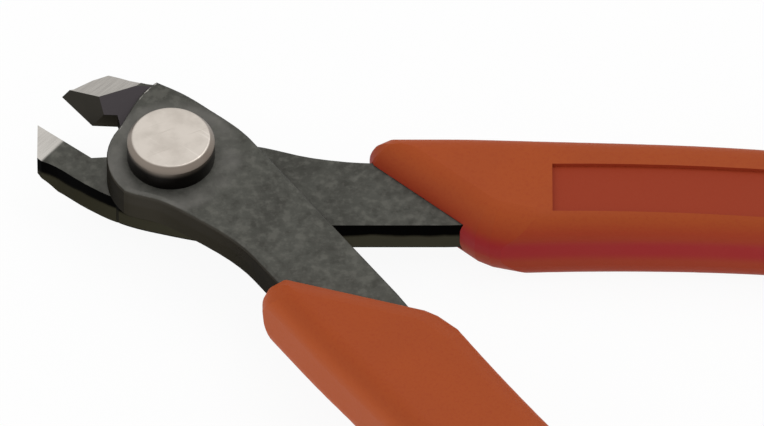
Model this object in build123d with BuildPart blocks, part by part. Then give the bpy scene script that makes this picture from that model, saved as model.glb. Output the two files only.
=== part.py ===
from build123d import *
from math import cos, radians, sin, tan
import os

os.makedirs("parts", exist_ok=True)

# Rail track cutter: a bypass shear of two flat blades on one rivet, lying flat.
# Millimetres. The pivot axis is the Z axis, and Z = 0 is the flat of the rivet's tail.
# The jaws point towards -X, and the handle of the back blade runs along +X.

# Blades
blade_thickness = 3.95
lap_gap = 0.02
edge_radius = 0.5
tang_end = 118.0
tang_end_half_width = 3.0

# Handles: where each centre line runs, seen from above, and how wide its steel is
back_handle_angle = 0.0
back_handle_offset = -1.97
back_handle_half_width = 4.45
front_handle_angle = -54.3
front_handle_offset = 3.8
front_handle_half_width = 4.82
bend_start = 44.0
bend_radius = 250.0
taper_start = 30.0

# Grips: half widths at the front, outwards and inwards of each handle's centre line,
# the angle of the slanted front edge and the radius of the outer front corner
grip_thickness = 9.5
upper_grip_outer = 7.0
upper_grip_inner = 7.2
upper_slant_angle = 41.5
upper_corner_radius = 1.2
lower_grip_outer = 7.9
lower_grip_inner = 6.9
lower_slant_angle = 38.0
lower_corner_radius = 2.0
waist_narrowing = 0.9
grip_waist = 92.0
grip_end = 124.0
grip_edge_radius = 2.8
grip_front = 21.5
grip_front_half_width = 4.15
grip_front_radius = 4.2
nose_radius = 1.5
inner_corner_radius = 7.5
grip_shoulder = 38.0
front_overlap = 0.05
pocket_clearance = 0.1

# Bare panel sunk into the face of each grip that lies on the lapping side
panel_start = 41.3
panel_length = 38.0
panel_outer = 2.0
panel_inner = -4.7
panel_depth = 0.45

# Ground jaws, each one given by its tip, its heel and the outer corner of its blunt end
front_jaw_tip = (-12.0, 12.05)
front_jaw_heel = (-8.65, 7.88)
front_jaw_back = [(-1.2, 10.2), (-2.75, 10.47), (-3.5, 10.7), (-4.6, 11.5), (-5.7, 12.5)]
front_jaw_end = [(-6.93, 13.5), (-8.7, 13.05), (-10.7, 11.95)]
back_jaw_tip = (-14.6, 8.0)
back_jaw_heel = (-8.7, 3.27)
back_jaw_end = (-14.6, 3.3)
back_jaw_corner = (-14.15, 2.84)
mouth_floor = [back_jaw_heel, (-6.9, 3.4), (-5.0, 3.3), (-5.0, 0.0), (-8.7, 0.5)]
front_tip_land = 0.98
front_bevel_angle = 24.5
back_tip_land = 0.9
back_bevel_angle = 28.8
cutting_edge_lean = 26.4
throat_point = (-7.53, 9.53)
throat_height = 3.2
throat_tilt = 36.8
throat_heading = -94.4

# Rivet
rivet_head_diameter = 9.5
rivet_head_height = 3.2
rivet_face_diameter = 8.5
rivet_bevel_height = 0.75
rivet_head_edge = 0.25
rivet_tail_diameter = 6.6
rivet_tail_height = 0.8
rivet_tail_edge = 0.3
rivet_shank_diameter = 4.2
running_clearance = 0.03

# Return spring: one loose turn of wire round the shank, with a leg in each blade
spring_wire = 0.8
spring_mean_radius = 2.85
spring_clearance = 0.06
spring_seat_clearance = 0.12
spring_gap_angle = 40.0
spring_leg_height = 1.8

# Travel of the front blade, from the open rest to closed jaws
closing_angle = 20.5

# Heights that follow
lap_height = rivet_tail_height + blade_thickness
front_bottom = lap_height + lap_gap
front_top = front_bottom + blade_thickness
back_bottom = lap_height - blade_thickness
head_top = front_top + rivet_head_height


def handle_plane(angle, offset, side):
    """Plane at mid thickness of a handle: x along it, y outwards, z towards the other blade."""
    along = Vector(cos(radians(angle)), sin(radians(angle)), 0)
    across = Vector(-along.Y, along.X, 0)
    mid = lap_height + lap_gap / 2 - side * (blade_thickness + lap_gap) / 2
    return Plane(
        origin=(across.X * offset, across.Y * offset, mid),
        x_dir=along,
        z_dir=(0, 0, side),
    )


back_handle = handle_plane(back_handle_angle, back_handle_offset, 1)
front_handle = handle_plane(front_handle_angle, front_handle_offset, -1)


def bend(station):
    """How far the centre line of a handle has curved inwards at a station along it."""
    past = max(0.0, station - bend_start)
    return -past**2 / (2 * bend_radius)


def tang_half_width(start, station):
    """Half width of the steel inside a grip, narrowing evenly to its end."""
    share = max(0.0, station - taper_start) / (tang_end - taper_start)
    return start + (tang_end_half_width - start) * share


def grip_half(start, station):
    """Half width of a grip: full at the front, narrowest at the waist, wider at the end."""
    share = min(1.0, abs(station - grip_waist) / (grip_waist - taper_start))
    return start - waist_narrowing * (1 - share**2)


def flat(plane, station, across):
    """A point of a handle, as seen from above."""
    point = plane.from_local_coords((station, across, 0))
    return (point.X, point.Y)


def direction(plane, side=1):
    """The direction of a handle, as seen from above."""
    return (plane.x_dir.X * side, plane.x_dir.Y * side)


tang_stations = [taper_start + step * (tang_end - taper_start) / 4 for step in range(5)]
grip_stations = [grip_shoulder + step * (grip_end - grip_shoulder) / 4 for step in range(5)]


def tang_side(plane, start, side):
    """Points along one side of the tang, from the front to its end."""
    return [
        flat(plane, station, bend(station) + side * tang_half_width(start, station))
        for station in tang_stations
    ]


def grind(tip, heel, land, angle, side):
    """Two ground planes of a jaw: the bevel that thins its tip and its leaning cutting face."""
    base = front_bottom if side > 0 else lap_height
    origin = Vector(tip[0], tip[1], base)
    along = (Vector(heel[0], heel[1], base) - origin).normalized()
    up = Vector(0, 0, side)
    away = Vector(along.Y, -along.X, 0) * -side
    bevel = along * -sin(radians(angle)) + up * cos(radians(angle))
    face = away * -cos(radians(cutting_edge_lean)) + up * sin(radians(cutting_edge_lean))
    return [Plane(origin=origin + up * land, z_dir=bevel), Plane(origin=origin, z_dir=face)]


throat = Plane(
    origin=(throat_point[0], throat_point[1], front_bottom + throat_height),
    z_dir=(
        sin(radians(throat_tilt)) * cos(radians(throat_heading)),
        sin(radians(throat_tilt)) * sin(radians(throat_heading)),
        cos(radians(throat_tilt)),
    ),
)


def tang_tip(plane):
    """The end of the tang on its centre line, rounded by its own half width."""
    station = tang_end + tang_end_half_width
    return flat(plane, station, bend(station))


# Seats of the shank and of the spring, shared by both blades
shank_radius = rivet_shank_diameter / 2
seat_outer = spring_mean_radius + spring_wire / 2 + spring_seat_clearance
seat_depth = spring_wire / 2 + spring_clearance
leg_hole_radius = spring_wire / 2 + spring_clearance
leg_hole_depth = spring_leg_height + spring_clearance
spring_height = lap_height + lap_gap / 2
spring_turn = 360 - spring_gap_angle
leg_travel = CenterArc(
    center=(0, 0),
    radius=spring_mean_radius,
    start_angle=spring_turn - closing_angle,
    arc_size=closing_angle,
)

# Front blade: its boss, its handle and the tang inside the lower grip
with BuildPart() as front_body:
    with BuildSketch(Plane.XY.offset(front_bottom)):
        with BuildLine():
            inner = tang_side(front_handle, front_handle_half_width, -1)
            outer = tang_side(front_handle, front_handle_half_width, 1)
            crotch = flat(front_handle, 3.0, -front_handle_half_width)
            waist = flat(front_handle, 17.0, front_handle_half_width)
            Spline((-5.8, 4.2), (-4.5, 6.9), (-3.6, 8.7), (-1.65, 11.0))
            Spline(
                (-1.65, 11.0),
                (1.05, 9.45),
                (4.5, 6.75),
                crotch,
                tangents=[(0.86, -0.5), direction(front_handle)],
            )
            Line(crotch, inner[0])
            Spline(*inner)
            ThreePointArc(inner[-1], tang_tip(front_handle), outer[-1])
            Spline(*reversed(outer))
            Line(outer[0], waist)
            Spline(
                waist,
                (1.9, -8.1),
                (-1.9, -5.9),
                (-5.1, -4.7),
                tangents=[direction(front_handle, -1), (-0.8, 0.6)],
            )
            ThreePointArc((-5.1, -4.7), (-6.98, -0.3), (-5.8, 4.2))
        make_face()
    extrude(amount=blade_thickness)
    fillet(front_body.faces().sort_by(Axis.Z)[-1].edges(), radius=edge_radius)

# Front blade: the ground upper jaw, joined to the body and seated on the rivet and spring
with BuildPart() as front_blade:
    with BuildSketch(Plane.XY.offset(front_bottom)):
        with BuildLine():
            Polyline(
                front_jaw_tip,
                front_jaw_heel,
                (-5.9, 7.73),
                (-5.0, 5.0),
                (0.0, 4.0),
                *front_jaw_back,
                *front_jaw_end,
                close=True,
            )
        make_face()
    extrude(amount=blade_thickness)
    front_planes = grind(front_jaw_tip, front_jaw_heel, front_tip_land, front_bevel_angle, 1)
    for plane in [*front_planes, throat]:
        split(bisect_by=plane, keep=Keep.BOTTOM)
    add(front_body.part)
    with Locations((0, 0, front_bottom)):
        Hole(radius=shank_radius + running_clearance)
    with BuildSketch(Plane.XY.offset(front_bottom)):
        Circle(seat_outer)
    extrude(amount=seat_depth, mode=Mode.SUBTRACT)
    with BuildSketch(Plane.XY.offset(front_bottom)):
        SlotArc(leg_travel, height=2 * leg_hole_radius)
    extrude(amount=leg_hole_depth, mode=Mode.SUBTRACT)
front_blade.part.label = "front_blade"
export_step(front_blade.part, "parts/front_blade.step")

# Back blade: its boss, its handle and the tang inside the upper grip
with BuildPart() as back_body:
    with BuildSketch(Plane.XY.offset(lap_height)):
        with BuildLine():
            inner = tang_side(back_handle, back_handle_half_width, -1)
            outer = tang_side(back_handle, back_handle_half_width, 1)
            shoulder = flat(back_handle, 23.0, back_handle_half_width)
            crotch = flat(back_handle, 18.0, -back_handle_half_width)
            ThreePointArc((-6.2, 3.25), (-3.5, 6.06), (2.9, 6.37))
            Spline(
                (2.9, 6.37),
                (10.0, 4.75),
                (14.2, 3.5),
                (18.0, 2.8),
                shoulder,
                tangents=[(0.91, -0.41), direction(back_handle)],
            )
            Line(shoulder, outer[0])
            Spline(*outer)
            ThreePointArc(outer[-1], tang_tip(back_handle), inner[-1])
            Spline(*reversed(inner))
            Line(inner[0], crotch)
            Spline(
                crotch,
                (3.0, -5.6),
                (-1.35, -4.5),
                (-5.7, -2.95),
                tangents=[direction(back_handle, -1), (-0.88, 0.47)],
            )
            ThreePointArc((-5.7, -2.95), (-6.9, 0.4), (-6.2, 3.25))
        make_face()
    extrude(amount=-blade_thickness)
    fillet(back_body.faces().sort_by(Axis.Z)[0].edges(), radius=edge_radius)

# Back blade: the ground lower jaw, joined to the body and seated on the rivet and spring
with BuildPart() as back_blade:
    with BuildSketch(Plane.XY.offset(lap_height)):
        with BuildLine():
            Polyline(
                back_jaw_corner,
                back_jaw_end,
                back_jaw_tip,
                back_jaw_heel,
                (-6.9, 3.2),
                (-2.0, 3.0),
                (-2.0, -2.5),
                (-3.2, -2.9),
            )
            Spline(
                (-3.2, -2.9),
                (-5.7, -2.65),
                (-7.85, -1.5),
                (-10.2, 0.15),
                (-12.2, 1.75),
                back_jaw_corner,
            )
        make_face()
    extrude(amount=-blade_thickness)
    for plane in grind(back_jaw_tip, back_jaw_heel, back_tip_land, back_bevel_angle, -1):
        split(bisect_by=plane, keep=Keep.BOTTOM)
    with BuildSketch(Plane.XY.offset(lap_height)):
        Polygon(*mouth_floor, align=None)
    extrude(amount=-blade_thickness)
    add(back_body.part)
    with Locations((0, 0, lap_height)):
        Hole(radius=shank_radius + running_clearance)
    with BuildSketch(Plane.XY.offset(lap_height)):
        Circle(seat_outer)
    extrude(amount=-seat_depth, mode=Mode.SUBTRACT)
    with BuildSketch(Plane.XY.offset(lap_height)):
        with Locations((spring_mean_radius, 0)):
            Circle(leg_hole_radius)
    extrude(amount=-leg_hole_depth, mode=Mode.SUBTRACT)
back_blade.part.label = "back_blade"
export_step(back_blade.part, "parts/back_blade.step")

# Rivet: a bright shouldered head, its shank and the tail formed under the back blade
with BuildPart() as pivot_rivet:
    with BuildSketch(Plane.XZ):
        with BuildLine():
            Polyline(
                (0, 0),
                (rivet_tail_diameter / 2, 0),
                (rivet_tail_diameter / 2, back_bottom),
                (shank_radius, back_bottom),
                (shank_radius, front_top),
                (rivet_head_diameter / 2, front_top),
                (rivet_head_diameter / 2, head_top - rivet_bevel_height),
                (rivet_face_diameter / 2, head_top),
                (0, head_top),
                close=True,
            )
        make_face()
    revolve(axis=Axis.Z)
    fillet(pivot_rivet.edges().sort_by(Axis.Z)[-1], radius=rivet_head_edge)
    fillet(pivot_rivet.edges().sort_by(Axis.Z)[0], radius=rivet_tail_edge)
pivot_rivet.part.label = "pivot_rivet"
export_step(pivot_rivet.part, "parts/pivot_rivet.step")

# Return spring: a turn of wire in the seats, with one leg down in the back blade
# and one leg up in the front blade
with BuildPart() as return_spring:
    with BuildSketch(Plane.XZ):
        with Locations((spring_mean_radius, spring_height)):
            Circle(spring_wire / 2)
    revolve(axis=Axis.Z, revolution_arc=spring_turn)
    for place, drop in ((0, -1), (spring_turn, 1)):
        with BuildSketch(Plane.XY.offset(spring_height)):
            with PolarLocations(spring_mean_radius, 1, start_angle=place):
                Circle(spring_wire / 2)
        extrude(amount=drop * spring_leg_height)
return_spring.part.label = "return_spring"
export_step(return_spring.part, "parts/return_spring.step")


def side_points(level, start, end):
    """Points of a line that keeps one distance from a handle's curved centre line."""
    middle = (start + end) / 2
    return [(station, level + bend(station)) for station in (start, middle, end)]


def inwards(angle):
    """Direction into a grip, square to a cut at this angle: 90 is its front, 0 its inner side."""
    return Vector(sin(radians(angle)), cos(radians(angle)), 0)


def corner_cuts(corner, before, after, radius, count):
    """Cuts that round a corner between two sides, each one a point and an angle."""
    toward = inwards(before) + inwards(after)
    centre = Vector(*corner) + toward * (2 * radius / toward.length**2)
    angles = [before + (after - before) * (step + 1) / (count + 1) for step in range(count)]
    return [(centre - inwards(angle) * radius, angle) for angle in angles]


def rounded_slab(handle, point, angle):
    """A wide slab with one rounded edge, which crosses a handle at a point and an angle."""
    into = inwards(angle)
    section = Plane(
        origin=handle.from_local_coords(point),
        x_dir=handle.x_dir * into.X + handle.y_dir * into.Y,
        z_dir=handle.x_dir * into.Y - handle.y_dir * into.X,
    )
    with BuildPart() as slab:
        with BuildSketch(section) as outline:
            thickness = grip_thickness + 2 * front_overlap
            Rectangle(2 * grip_end, thickness, align=(Align.MIN, Align.CENTER))
            fillet(outline.vertices().group_by(Axis.X)[0], radius=grip_front_radius)
        extrude(amount=grip_end, both=True)
    return slab.part


def make_grip(handle, tang_start, outer_half, inner_half, slant_angle, corner_radius):
    """One moulded grip: rounded along it, cut slanting in front, with its pocket and panel."""
    outer = [(s, bend(s) + grip_half(outer_half, s)) for s in grip_stations]
    inner = [(s, bend(s) - grip_half(inner_half, s)) for s in grip_stations]
    cap = grip_end + grip_half(inner_half, grip_end)
    end_slope = (bend(grip_end + 1) - bend(grip_end - 1)) / 2
    nose = Vector(grip_front, grip_front_half_width)
    corner_run = (grip_front_half_width + inner_half) / tan(radians(slant_angle))
    cuts = [
        *corner_cuts((grip_front, outer_half), 180, 90, corner_radius, 2),
        (nose, 90),
        *corner_cuts(nose, 90, slant_angle, nose_radius, 1),
        (nose, slant_angle),
        *corner_cuts((grip_front + corner_run, -inner_half), slant_angle, 0, inner_corner_radius, 2),
    ]
    sides = [(s, tang_half_width(tang_start, s) + pocket_clearance) for s in tang_stations]
    pocket = sides[0][1]
    pocket_end = tang_end + tang_end_half_width + pocket_clearance
    panel_end = panel_start + panel_length
    outer_panel = side_points(panel_outer, panel_start, panel_end)
    inner_panel = side_points(panel_inner, panel_start, panel_end)
    with BuildPart() as grip:
        with BuildSketch(handle.offset(-grip_thickness / 2)):
            with BuildLine():
                Line((0, -inner_half), (0, outer_half))
                Line((0, outer_half), (taper_start, outer_half))
                Spline((taper_start, outer_half), *outer, tangents=[(1, 0), (1, end_slope)])
                ThreePointArc(outer[-1], (cap, bend(cap)), inner[-1])
                Spline(
                    *reversed(inner),
                    (taper_start, -inner_half),
                    tangents=[(-1, -end_slope), (-1, 0)],
                )
                Line((taper_start, -inner_half), (0, -inner_half))
            make_face()
        extrude(amount=grip_thickness)
        rims = grip.faces().filter_by(Axis.Z).edges()
        long_sides = rims.filter_by(lambda edge: handle.to_local_coords(edge.center()).X > 1)
        fillet(long_sides, radius=grip_edge_radius)
        for point, angle in cuts:
            add(rounded_slab(handle, point, angle), mode=Mode.INTERSECT)
        with BuildSketch(handle.offset(-blade_thickness / 2 - pocket_clearance)):
            with BuildLine():
                Polyline((taper_start, -pocket), (0, -pocket), (0, pocket), (taper_start, pocket))
                Spline(*[(s, bend(s) + half) for s, half in sides])
                ThreePointArc(
                    (tang_end, bend(tang_end) + sides[-1][1]),
                    (pocket_end, bend(pocket_end)),
                    (tang_end, bend(tang_end) - sides[-1][1]),
                )
                Spline(*[(s, bend(s) - half) for s, half in reversed(sides)])
            make_face()
        extrude(amount=blade_thickness + 2 * pocket_clearance, mode=Mode.SUBTRACT)
        with BuildSketch(handle.offset(grip_thickness / 2)):
            with BuildLine():
                Spline(*outer_panel)
                Line(outer_panel[-1], inner_panel[-1])
                Spline(*reversed(inner_panel))
                Line(inner_panel[0], outer_panel[0])
            make_face()
        extrude(amount=-panel_depth, mode=Mode.SUBTRACT)
    return grip.part


upper_grip = make_grip(
    back_handle,
    back_handle_half_width,
    upper_grip_outer,
    upper_grip_inner,
    upper_slant_angle,
    upper_corner_radius,
)
upper_grip.label = "upper_grip"
export_step(upper_grip, "parts/upper_grip.step")

lower_grip = make_grip(
    front_handle,
    front_handle_half_width,
    lower_grip_outer,
    lower_grip_inner,
    lower_slant_angle,
    lower_corner_radius,
)
lower_grip.label = "lower_grip"
export_step(lower_grip, "parts/lower_grip.step")
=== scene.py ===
"""Rail track cutter: the looks of a bypass shear with two flat blades on one rivet.

Every length is in metres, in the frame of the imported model: the pivot axis is Z, the jaws
point towards -X, and the handle of the back blade runs along +X.
"""

import logging
import math
from dataclasses import dataclass, field
from enum import Enum
from typing import Any

import bpy
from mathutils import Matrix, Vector

logging.basicConfig(level=logging.INFO, format="%(levelname)s %(name)s: %(message)s")
log = logging.getLogger("rail_cutter")

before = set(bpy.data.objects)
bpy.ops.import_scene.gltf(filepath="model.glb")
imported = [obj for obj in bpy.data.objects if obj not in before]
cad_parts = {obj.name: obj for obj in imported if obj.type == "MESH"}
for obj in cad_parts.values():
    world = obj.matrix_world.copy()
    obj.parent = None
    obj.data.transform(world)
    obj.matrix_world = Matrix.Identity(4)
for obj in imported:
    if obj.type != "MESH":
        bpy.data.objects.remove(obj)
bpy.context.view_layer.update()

Colour = tuple[float, float, float]
MILLIMETRE = 0.001


def srgb(red: int, green: int, blue: int) -> Colour:
    """Turn a display colour into the linear values that a shader takes.

    Args:
        red: Red from 0 to 255.
        green: Green from 0 to 255.
        blue: Blue from 0 to 255.

    Returns:
        The three linear values.
    """

    def linear(level: int) -> float:
        """Linear value of one channel."""
        share = level / 255
        return share / 12.92 if share <= 0.04045 else ((share + 0.055) / 1.055) ** 2.4

    return linear(red), linear(green), linear(blue)


class Node(Enum):
    """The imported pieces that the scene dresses."""

    FRONT_BLADE = "front_blade"
    BACK_BLADE = "back_blade"
    RIVET = "pivot_rivet"
    SPRING = "return_spring"
    UPPER_GRIP = "upper_grip"
    LOWER_GRIP = "lower_grip"


class Value:
    """A socket of a shader, with arithmetic that adds Math nodes."""

    def __init__(self, shader: "Shader", socket: bpy.types.NodeSocket) -> None:
        """Keep the socket and the shader that it belongs to."""
        self.shader = shader
        self.socket = socket

    def _math(self, operation: str, *terms: Any) -> "Value":
        """Add one Math node.

        Args:
            operation: The node's operation.
            terms: Its inputs, numbers or values.

        Returns:
            The node's output.
        """
        return self.shader.node(
            "ShaderNodeMath", {"operation": operation}, dict(enumerate(terms))
        )

    def __add__(self, other: Any) -> "Value":
        """This value plus the other."""
        return self._math("ADD", self, other)

    __radd__ = __add__

    def __sub__(self, other: Any) -> "Value":
        """This value minus the other."""
        return self._math("SUBTRACT", self, other)

    def __mul__(self, other: Any) -> "Value":
        """This value times the other."""
        return self._math("MULTIPLY", self, other)

    __rmul__ = __mul__

    def __abs__(self) -> "Value":
        """The size of this value without its sign."""
        return self._math("ABSOLUTE", self)

    def ramp(self, low: float, high: float, top: float = 1.0) -> "Value":
        """Rise smoothly from nothing at one level to a top at another.

        Args:
            low: Where the result is 0.
            high: Where the result is the top; it may be below low.
            top: The highest result.

        Returns:
            The smooth step.
        """
        return self.shader.node(
            "ShaderNodeMapRange",
            {"interpolation_type": "SMOOTHSTEP"},
            {0: self, 1: low, 2: high, 3: 0.0, 4: top},
        )

    def band(self, middle: float, reach: float, soft: float) -> "Value":
        """Be 1 within a reach of a middle and fall off softly past it.

        Args:
            middle: The centre of the band.
            reach: Half its width.
            soft: How far it takes to fall to nothing.

        Returns:
            The mask of the band.
        """
        return abs(self - middle).ramp(reach + soft, reach)


class Shader:
    """The node tree of one material, ready for its Principled shader's inputs."""

    def __init__(self, name: str) -> None:
        """Start a material with one Principled shader.

        Args:
            name: The material's name.
        """
        self.material = bpy.data.materials.new(name)
        self.material.use_nodes = True
        self.tree = self.material.node_tree
        self.surface = self.tree.nodes["Principled BSDF"]
        place = self.tree.nodes.new("ShaderNodeTexCoord")
        self.place = Value(self, place.outputs["Object"])
        self.normal = Value(self, place.outputs["Normal"])

    def node(
        self, kind: str, settings: dict[str, Any], inputs: dict[Any, Any], output: Any = 0
    ) -> Value:
        """Add a node, set it up and fill its inputs.

        Args:
            kind: The node's type.
            settings: Its own settings, set before its inputs.
            inputs: Values, numbers or colours by input name or place.
            output: The output that is wanted, by name or place.

        Returns:
            That output as a value.
        """
        made = self.tree.nodes.new(kind)
        for name, setting in settings.items():
            setattr(made, name, setting)
        for key, entry in inputs.items():
            if isinstance(entry, Value):
                self.tree.links.new(entry.socket, made.inputs[key])
            elif isinstance(entry, tuple) and made.inputs[key].type == "RGBA":
                made.inputs[key].default_value = (*entry, 1.0)
            else:
                made.inputs[key].default_value = entry
        return Value(self, made.outputs[output])

    def axis(self, vector: Value, letter: str) -> Value:
        """One coordinate of a vector."""
        return self.node("ShaderNodeSeparateXYZ", {}, {0: vector}, letter)

    def dot(self, vector: Value, other: Vector) -> Value:
        """How far a vector lies along a fixed direction."""
        return self.node(
            "ShaderNodeVectorMath",
            {"operation": "DOT_PRODUCT"},
            {0: vector, 1: tuple(other)},
            "Value",
        )

    def from_pivot(self) -> Value:
        """Distance from the pivot's axis, in metres."""
        across, along = self.axis(self.place, "X"), self.axis(self.place, "Y")
        level = self.node("ShaderNodeCombineXYZ", {}, {0: across, 1: along})
        return self.node("ShaderNodeVectorMath", {"operation": "LENGTH"}, {0: level}, "Value")

    def mix(self, share: Any, start: Any, end: Any) -> Value:
        """Go from one colour to another by a share."""
        return self.node(
            "ShaderNodeMix",
            {"data_type": "RGBA", "clamp_factor": True},
            {"Factor": share, 6: start, 7: end},
            2,
        )

    def noise(
        self, size: float, detail: float = 3.0, stretch: Colour = (1, 1, 1), turn: float = 0.0
    ) -> Value:
        """Cloudy variation from 0 to 1.

        Args:
            size: Width of one cloud in metres.
            detail: How many finer levels it has.
            stretch: How much the pattern is squeezed along each axis.
            turn: Angle about Z that the pattern is turned by, in degrees.

        Returns:
            The noise.
        """
        place = self.node(
            "ShaderNodeMapping",
            {"vector_type": "TEXTURE"},
            {
                "Vector": self.place,
                "Rotation": (0.0, 0.0, math.radians(turn)),
                "Scale": tuple(1 / part for part in stretch),
            },
        )
        return self.node(
            "ShaderNodeTexNoise", {}, {"Vector": place, "Scale": 1 / size, "Detail": detail}
        )

    def bump(self, height: Value, depth: float, strength: float = 1.0) -> Value:
        """Raise the surface by a height.

        Args:
            height: Height from 0 to 1.
            depth: What 1 stands for, in metres.
            strength: Share of the effect.

        Returns:
            The bent normal.
        """
        return self.node(
            "ShaderNodeBump", {}, {"Strength": strength, "Distance": depth, "Height": height}
        )

    def dress(self, **inputs: Any) -> bpy.types.Material:
        """Fill the Principled shader's inputs.

        Args:
            inputs: Values or plain numbers by input name, with _ for a space.

        Returns:
            The finished material.
        """
        for name, entry in inputs.items():
            socket = self.surface.inputs[name.replace("_", " ")]
            if isinstance(entry, Value):
                self.tree.links.new(entry.socket, socket)
            elif isinstance(entry, tuple):
                socket.default_value = (*entry, 1.0)
            else:
                socket.default_value = entry
        return self.material


@dataclass(frozen=True)
class GroundJaw:
    """The ground planes of a jaw.

    Attributes:
        tip: The tip in plan.
        heel: Where the cutting edge ends, in plan.
        side: 1 where the jaw's own outer face looks up, -1 where it looks down.
        bevel_angle: Tilt of the tip's bevel in degrees.
        lean: How far the cutting face leans, in degrees.
    """

    tip: tuple[float, float]
    heel: tuple[float, float]
    side: int
    bevel_angle: float
    lean: float = 26.4

    def along(self) -> Vector:
        """The direction from the tip to the heel."""
        run = Vector((self.heel[0] - self.tip[0], self.heel[1] - self.tip[1], 0))
        return run.normalized()

    def facet(self, angle: float) -> Vector:
        """The outward direction of a facet that is tilted towards the tip."""
        tilt = math.radians(angle)
        return self.along() * -math.sin(tilt) + Vector((0, 0, self.side)) * math.cos(tilt)

    def cutting_face(self) -> Vector:
        """The outward direction of the leaning cutting face."""
        along = self.along()
        away = Vector((along.y, -along.x, 0)) * -self.side
        lean = math.radians(self.lean)
        return away * -math.cos(lean) + Vector((0, 0, self.side)) * math.sin(lean)


@dataclass(frozen=True)
class BlackenedSteel:
    """Satin black oxide on a forged steel blade, with its ground jaw left bright.

    Attributes:
        jaw: The ground planes of its jaw.
        wall_middle: The height where the side walls change tone; on the back blade the near-black
            upper wall is painted shade and the lighter olive lower wall is painted reflection.
        bright_reach: How far the lapping face is polished, from the tip.
        throat: The outward direction of the plain ground facet.
    """

    jaw: GroundJaw
    wall_middle: float
    bright_reach: float
    top: Colour = srgb(78, 78, 73)
    top_dark: Colour = srgb(58, 57, 53)
    top_light: Colour = srgb(100, 99, 93)
    # Side wall tones; on the back blade they are a near-black painted shade above and a lighter
    # painted reflection below.
    wall_upper: Colour = srgb(63, 60, 54)
    wall_lower: Colour = srgb(60, 57, 50)
    edge: Colour = srgb(84, 83, 79)
    bright: Colour = srgb(192, 188, 182)
    # ground: the throat facet's dark grey, a painted shade on ground steel.
    ground: Colour = srgb(70, 66, 68)
    throat: Vector = field(default_factory=lambda: Vector((0, 0, -1)))
    bright_lines: Colour = srgb(150, 146, 142)
    # cutting_face: painted shade, darker than the blackened top.
    cutting_face: Colour = srgb(54, 52, 48)
    worn_ring: Colour = srgb(112, 110, 106)
    ring_radius: float = 0.0064
    ring_reach: float = 0.0006
    ring_soft: float = 0.0014
    wall_waver: float = 0.0012
    wall_soft: float = 0.0003
    polish_soft: float = 0.0004

    def material(self, name: str) -> bpy.types.Material:
        """Build the finish.

        Args:
            name: The material's name.

        Returns:
            The material.
        """
        shader = Shader(name)
        upright = shader.axis(shader.normal, "Z")
        height = shader.axis(shader.place, "Z")
        cloud = shader.noise(0.006, 4.0)
        grain = shader.noise(0.0005, 3.0)
        streak = shader.noise(0.0009, 3.0, (0.12, 1.0, 1.0), 35.0)
        speckle = shader.noise(0.0012, 5.0)
        worn = shader.mix(cloud.ramp(0.35, 0.7, 0.5), self.top, self.top_dark)
        worn = shader.mix(speckle.ramp(0.5, 0.68, 0.5), worn, self.top_light)
        worn = shader.mix(speckle.ramp(0.48, 0.32, 0.5), worn, self.top_dark)
        worn = shader.mix(grain.ramp(0.45, 0.75, 0.35), worn, self.top_light)
        # On the back blade the upper wall is painted shade and the lower wall painted reflection.
        split = height + (cloud - 0.5) * self.wall_waver - self.wall_middle
        below = split.ramp(self.wall_soft, -self.wall_soft)
        wall = shader.mix(below, self.wall_upper, self.wall_lower)
        flat = abs(upright).ramp(0.45, 0.75)
        skin = shader.mix(flat, wall, worn)
        rim = abs(upright).band(0.86, 0.06, 0.07) * cloud.ramp(0.3, 0.6)
        skin = shader.mix(rim * 0.5, skin, self.edge)
        ring = shader.from_pivot().band(self.ring_radius, self.ring_reach, self.ring_soft)
        skin = shader.mix(ring * cloud.ramp(0.25, 0.6, 0.6) * flat, skin, self.worn_ring)
        bevel = shader.dot(shader.normal, self.jaw.facet(self.jaw.bevel_angle)).ramp(0.985, 0.995)
        face = shader.dot(shader.normal, self.jaw.cutting_face()).ramp(0.98, 0.995)
        throat = shader.dot(shader.normal, self.throat).ramp(0.99, 0.998)
        run = shader.dot(shader.place, self.jaw.along())
        start = Vector((*self.jaw.tip, 0)).dot(self.jaw.along())
        shear = shader.dot(shader.normal, Vector((0, 0, -self.jaw.side))).ramp(0.97, 0.99)
        polish_end = self.bright_reach + self.polish_soft
        polished = shear * (run - start).ramp(polish_end, self.bright_reach)
        lines = shader.noise(0.00025, 2.0, (0.05, 1.0, 1.0), 48.0)
        silver = shader.mix(lines.ramp(0.3, 0.8, 0.4), self.bright, self.bright_lines)
        # Painted shade: the front jaw's ground throat facet is painted dark grey; on the back
        # blade this tone goes on the underside.
        skin = shader.mix(throat, skin, self.ground)
        skin = shader.mix(bevel, skin, silver)
        skin = shader.mix(polished, skin, silver)
        # Painted shade: the leaning cutting face is painted darker than the blackened top.
        skin = shader.mix(face * (cloud * 0.4 + 0.6), skin, self.cutting_face)
        shine = (bevel + polished) * 0.14
        return shader.dress(
            Base_Color=skin,
            Metallic=0.85 + (bevel + polished + throat - 1) * flat * 0.5,
            Specular_IOR_Level=0.08,
            Specular_Tint=(0.1, 0.1, 0.1),
            Roughness=0.40 + (cloud - 0.5) * 0.2 + (streak - 0.5) * 0.12 - shine,
            Normal=shader.bump(grain * 0.6 + streak * 0.4, 0.00003, 0.5),
        )


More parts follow.
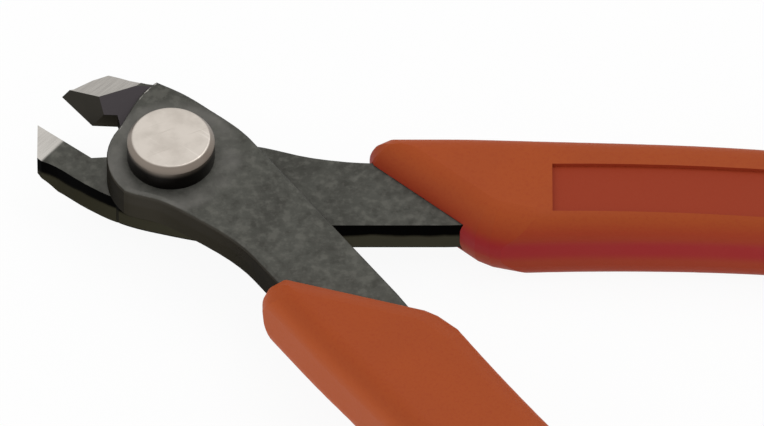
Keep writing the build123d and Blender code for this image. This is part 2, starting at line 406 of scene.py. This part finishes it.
@dataclass(frozen=True)
class BrightRivet:
    """Warm silver steel with faint scratches, with a darker painted shade on its bevel ring and
    near-black painted shade low on the head's side all round.
    """

    face: Colour = srgb(198, 190, 181)
    dull: Colour = srgb(172, 164, 155)
    # bevel and low are painted shade: a darker ring on the bevel round the face, and near-black
    # low on the head's side.
    bevel: Colour = srgb(132, 122, 112)
    low: Colour = srgb(22, 19, 17)
    dark_scratch: Colour = srgb(160, 150, 140)
    light_scratch: Colour = srgb(236, 230, 222)
    face_radius: float = 0.00425
    bevel_soft: float = 0.0001
    head_low: float = 0.0103
    head_high: float = 0.0116

    def material(self, name: str) -> bpy.types.Material:
        """Build the finish.

        Args:
            name: The material's name.

        Returns:
            The material.
        """
        shader = Shader(name)
        height = shader.axis(shader.place, "Z")
        cloud = shader.noise(0.0025, 4.0)
        scratch = shader.noise(0.0004, 2.0, (0.06, 1.0, 1.0), 25.0)
        cross = shader.noise(0.0005, 2.0, (0.07, 1.0, 1.0), -40.0)
        skin = shader.mix(cloud.ramp(0.35, 0.75, 0.7), self.face, self.dull)
        skin = shader.mix(scratch.ramp(0.62, 0.75, 0.45), skin, self.dark_scratch)
        skin = shader.mix(cross.ramp(0.62, 0.75, 0.2), skin, self.light_scratch)
        inner, outer = self.face_radius - self.bevel_soft, self.face_radius + self.bevel_soft
        # Painted shade: a darker ring painted on the bevel round the face.
        bevel = shader.from_pivot().ramp(inner, outer)
        skin = shader.mix(bevel, skin, self.bevel)
        # Painted shade: near-black painted low on the head's side, all round.
        skin = shader.mix(height.ramp(self.head_high, self.head_low), skin, self.low)
        return shader.dress(
            Base_Color=skin,
            Metallic=0.8,
            Specular_IOR_Level=0.2,
            Roughness=0.38 + (cloud - 0.5) * 0.2 + (scratch - 0.5) * 0.1,
            Normal=shader.bump(scratch * 0.5 + cross * 0.5, 0.00002, 0.5),
        )


@dataclass(frozen=True)
class SpringWire:
    """Plain drawn spring wire with fine lines along it."""

    skin: Colour = srgb(140, 138, 134)
    lines: Colour = srgb(98, 95, 90)

    def material(self, name: str) -> bpy.types.Material:
        """Build the finish."""
        shader = Shader(name)
        grain = shader.noise(0.0003, 3.0)
        skin = shader.mix(grain.ramp(0.3, 0.8, 0.6), self.skin, self.lines)
        return shader.dress(
            Base_Color=skin,
            Metallic=0.9,
            Roughness=0.3 + grain * 0.15,
            Normal=shader.bump(grain, 0.00001, 0.4),
        )


@dataclass(frozen=True)
class MouldedVinyl:
    """Soft matt vinyl, orange brown on its flats and redder in its panel.

    Attributes:
        panel_height: The height of the sunk panel's floor.
        side: The colour of its side walls: painted shade on the upper grip, painted light on the
            lower grip.
        band: The colour of the stripe along them: a darker red painted shade on the upper grip,
            the sides' painted light on the lower grip.
        band_height: The height of that stripe's middle.
    """

    panel_height: float
    side: Colour
    band: Colour
    band_height: float = 0.0034
    band_reach: float = 0.0005
    band_soft: float = 0.0015
    skin: Colour = srgb(156, 69, 30)
    light: Colour = srgb(166, 75, 30)
    red: Colour = srgb(142, 47, 26)

    def material(self, name: str) -> bpy.types.Material:
        """Build the finish.

        Args:
            name: The material's name.

        Returns:
            The material.
        """
        shader = Shader(name)
        upright = shader.axis(shader.normal, "Z")
        height = shader.axis(shader.place, "Z")
        cloud = shader.noise(0.012, 4.0)
        pores = shader.noise(0.00035, 3.0)
        skin = shader.mix(cloud.ramp(0.35, 0.7, 0.35), self.skin, self.light)
        skin = shader.mix(pores.ramp(0.45, 0.8, 0.25), skin, self.red)
        floor = height.band(self.panel_height, 0.00012, 0.00008)
        skin = shader.mix(floor * abs(upright).ramp(0.9, 0.98) * 0.8, skin, self.red)
        # Painted shading on the side walls: darker red on the upper grip, lighter orange on the
        # lower grip.
        side_painted_shading = abs(upright).ramp(0.9, 0.3)
        skin = shader.mix(side_painted_shading * 0.7, skin, self.side)
        # Painted shade: a darker red stripe along the upper grip's sides; on the lower grip it
        # takes the sides' painted light.
        stripe = height.band(self.band_height, self.band_reach, self.band_soft)
        skin = shader.mix(stripe * side_painted_shading * (cloud * 0.5 + 0.55), skin, self.band)
        return shader.dress(
            Base_Color=skin,
            Roughness=0.52 + (cloud - 0.5) * 0.12 + (pores - 0.5) * 0.1,
            Specular_IOR_Level=0.12,
            Normal=shader.bump(pores, 0.00004, 0.4),
        )


@dataclass
class Studio:
    """The pale floor, the lamps, the sky and the camera."""

    aim: Vector = field(default_factory=lambda: Vector((0.02285, -0.00465, 0.00475)))
    elevation: float = 49.0
    view_width: float = 0.08276
    lens: float = 900.0
    floor_reach: float = 6.0
    floor_level: float = -0.002025
    floor_white: float = 0.93
    sky_light: float = 0.75

    def build(self) -> None:
        """Make the whole studio."""
        self.camera()
        self.floor()
        self.sky()
        self.lamp("key_lamp", Vector((0.45, 0.35, 1.15)), 0.9, 4.5)
        self.lamp("fill_lamp", Vector((-0.9, -0.3, 0.9)), 0.8, 1.5)
        log.info("studio built")

    def camera(self) -> None:
        """Place the camera so that the given width fills the picture at the aim."""
        data = bpy.data.cameras.new("studio_camera")
        camera = bpy.data.objects.new("studio_camera", data)
        bpy.context.scene.collection.objects.link(camera)
        data.sensor_width = 36.0
        data.lens = self.lens
        data.clip_start = 0.1
        data.clip_end = 50.0
        rise = math.radians(self.elevation)
        back = Vector((0, -math.cos(rise), math.sin(rise)))
        camera.location = self.aim + back * (self.view_width / data.sensor_width * self.lens)
        camera.rotation_mode = "QUATERNION"
        camera.rotation_quaternion = (-back).to_track_quat("-Z", "Y")
        bpy.context.scene.camera = camera

    def seen(self, tree: bpy.types.NodeTree) -> bpy.types.NodeSocket:
        """Be 1 for what the camera sees, directly, mirrored or through, and 0 for falling light.

        Args:
            tree: The node tree that asks.

        Returns:
            The socket with the answer.
        """
        path = tree.nodes.new("ShaderNodeLightPath")
        answer = path.outputs["Is Camera Ray"]
        for kind in ("Is Glossy Ray", "Is Transmission Ray"):
            either = tree.nodes.new("ShaderNodeMath")
            either.operation = "MAXIMUM"
            tree.links.new(answer, either.inputs[0])
            tree.links.new(path.outputs[kind], either.inputs[1])
            answer = either.outputs[0]
        return answer

    def floor(self) -> None:
        """Lay a pale floor that looks almost white and keeps the shadow."""
        bpy.ops.object.select_all(action="DESELECT")
        centre = (0, 0, self.floor_level)
        bpy.ops.mesh.primitive_plane_add(size=2 * self.floor_reach, location=centre)
        floor = bpy.context.object
        floor.name = "studio_floor"
        material = bpy.data.materials.new("pale_floor")
        material.use_nodes = True
        tree = material.node_tree
        surface = tree.nodes["Principled BSDF"]
        surface.inputs["Base Color"].default_value = (0.86, 0.86, 0.86, 1)
        surface.inputs["Roughness"].default_value = 0.9
        glow = tree.nodes.new("ShaderNodeEmission")
        glow.inputs["Strength"].default_value = 1.0
        blend = tree.nodes.new("ShaderNodeMixShader")
        share = tree.nodes.new("ShaderNodeMath")
        share.operation = "MULTIPLY"
        share.inputs[1].default_value = self.floor_white
        tree.links.new(self.seen(tree), share.inputs[0])
        tree.links.new(share.outputs[0], blend.inputs[0])
        tree.links.new(surface.outputs[0], blend.inputs[1])
        tree.links.new(glow.outputs[0], blend.inputs[2])
        tree.links.new(blend.outputs[0], tree.nodes["Material Output"].inputs["Surface"])
        floor.data.materials.append(material)

    def sky(self) -> None:
        """Light evenly from all round, and show white where it is seen."""
        world = bpy.data.worlds.new("studio_sky")
        bpy.context.scene.world = world
        world.use_nodes = True
        tree = world.node_tree
        soft = tree.nodes["Background"]
        soft.inputs["Strength"].default_value = self.sky_light
        soft.inputs["Color"].default_value = (1, 1, 1, 1)
        white = tree.nodes.new("ShaderNodeBackground")
        white.inputs["Color"].default_value = (1, 1, 1, 1)
        white.inputs["Strength"].default_value = 1.0
        blend = tree.nodes.new("ShaderNodeMixShader")
        tree.links.new(self.seen(tree), blend.inputs[0])
        tree.links.new(soft.outputs[0], blend.inputs[1])
        tree.links.new(white.outputs[0], blend.inputs[2])
        tree.links.new(blend.outputs[0], tree.nodes["World Output"].inputs["Surface"])

    def lamp(self, name: str, place: Vector, size: float, power: float) -> None:
        """Hang a soft square lamp that faces the object.

        Args:
            name: The lamp's name.
            place: Where it hangs.
            size: Its side.
            power: Its power in watts.
        """
        data = bpy.data.lights.new(name, "AREA")
        data.shape = "SQUARE"
        data.size = size
        data.energy = power
        lamp = bpy.data.objects.new(name, data)
        bpy.context.scene.collection.objects.link(lamp)
        lamp.location = place
        lamp.rotation_mode = "QUATERNION"
        lamp.rotation_quaternion = (self.aim - place).to_track_quat("-Z", "Y")


@dataclass
class Cutter:
    """The cutter's own pieces and their finishes."""

    front_jaw: GroundJaw = GroundJaw(
        (-12.0 * MILLIMETRE, 12.05 * MILLIMETRE), (-8.65 * MILLIMETRE, 7.88 * MILLIMETRE), 1, 24.5
    )
    back_jaw: GroundJaw = GroundJaw(
        (-14.6 * MILLIMETRE, 8.0 * MILLIMETRE), (-8.7 * MILLIMETRE, 3.27 * MILLIMETRE), -1, 28.8
    )
    throat_tilt: float = 36.8
    throat_heading: float = -94.4

    def throat(self) -> Vector:
        """The outward direction of the front jaw's throat facet."""
        tilt = math.radians(self.throat_tilt)
        heading = math.radians(self.throat_heading)
        level = Vector((math.cos(heading), math.sin(heading), 0)) * math.sin(tilt)
        return level + Vector((0, 0, math.cos(tilt)))

    def paint(self, node: Node, material: bpy.types.Material) -> None:
        """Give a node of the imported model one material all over.

        Args:
            node: The node's name.
            material: Its new material.
        """
        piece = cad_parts[node.value]
        for slot in piece.material_slots:
            slot.material = material
        log.info("%s dressed in %s", node.value, material.name)

    def build(self) -> None:
        """Dress every piece."""
        self.paint(
            Node.FRONT_BLADE,
            BlackenedSteel(
                self.front_jaw, wall_middle=0.0067, bright_reach=0.0, throat=self.throat()
            ).material("front_blackened_steel"),
        )
        self.paint(
            Node.BACK_BLADE,
            BlackenedSteel(
                self.back_jaw,
                wall_middle=0.0030,
                bright_reach=0.0034,
                # Painted shade: near-black upper side wall; painted reflection: lighter olive
                # lower side wall.
                wall_upper=srgb(4, 3, 2),
                wall_lower=srgb(59, 57, 47),
            ).material("back_blackened_steel"),
        )
        self.paint(Node.RIVET, BrightRivet().material("rivet_silver"))
        self.paint(Node.SPRING, SpringWire().material("spring_wire_steel"))
        # Painted shade: the upper grip's sides are painted redder, with a darker red stripe along
        # them.
        upper = MouldedVinyl(
            panel_height=0.007075, side=srgb(162, 58, 38), band=srgb(160, 34, 42)
        )
        # Painted light: the lower grip's sides and stripe are painted a lighter orange.
        lower_side_painted_light = srgb(184, 88, 44)
        lower = MouldedVinyl(panel_height=0.002445, side=lower_side_painted_light, band=lower_side_painted_light)
        self.paint(Node.UPPER_GRIP, upper.material("upper_vinyl"))
        self.paint(Node.LOWER_GRIP, lower.material("lower_vinyl"))


def main() -> None:
    """Build the cutter and the studio."""
    bpy.context.scene.view_settings.view_transform = "Standard"
    Cutter().build()
    Studio().build()


if __name__ == "__main__":
    main()
